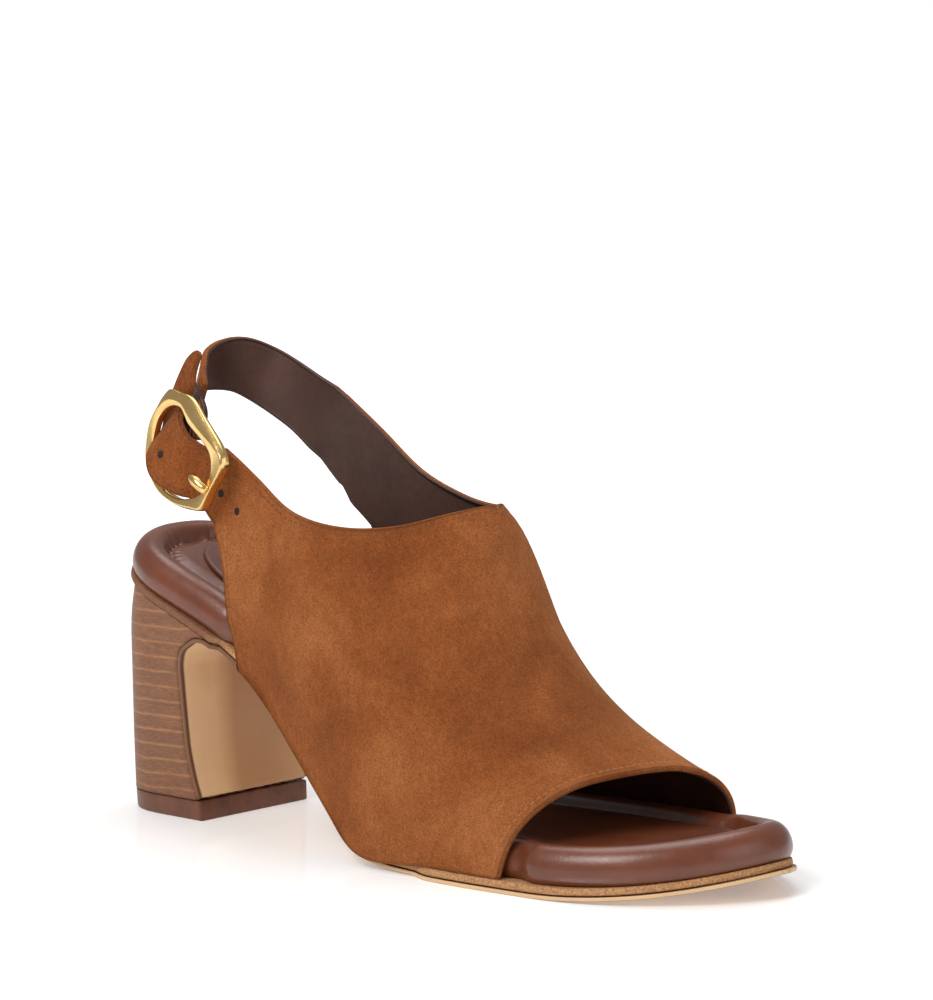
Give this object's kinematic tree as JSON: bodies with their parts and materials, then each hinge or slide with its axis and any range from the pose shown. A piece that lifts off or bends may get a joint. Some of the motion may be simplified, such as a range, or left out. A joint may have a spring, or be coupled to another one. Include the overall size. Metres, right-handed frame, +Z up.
{
  "type": "block heel sandal",
  "caption": "Open toe slingback sandal for the right foot with a high vamp, a buckled ankle tab, a padded footbed and a tall block heel.",
  "frame": {"origin": "on the floor under the middle of the shoe's bounding box", "axes": "+X from the heel to the toe, +Y to the inner (medial) side of the right foot, +Z up from the floor"},
  "size_m": [0.2332, 0.0856, 0.141],
  "materials": {
    "heel_rubber": "matte brown top piece",
    "stacked_heel": "satin dark brown with fine light lines of stacked layers",
    "sole_leather": "smooth natural sole leather",
    "welt_leather": "matte tan edge",
    "footbed_leather": "smooth semi-gloss brown lining leather",
    "suede": "cognac suede with a soft nap",
    "elastic": "ribbed dark brown elastic",
    "gold": "polished gold plating"
  },
  "bodies": {
    "root": {"heel_tap": "heel_rubber", "heel_block": "stacked_heel", "outsole": "sole_leather", "welt": "welt_leather", "footbed": "footbed_leather", "heel_sock": "footbed_leather", "upper": "suede", "elastic": "elastic", "buckle_frame": "gold", "buckle_prong": "gold"}
  },
  "joints": []
}
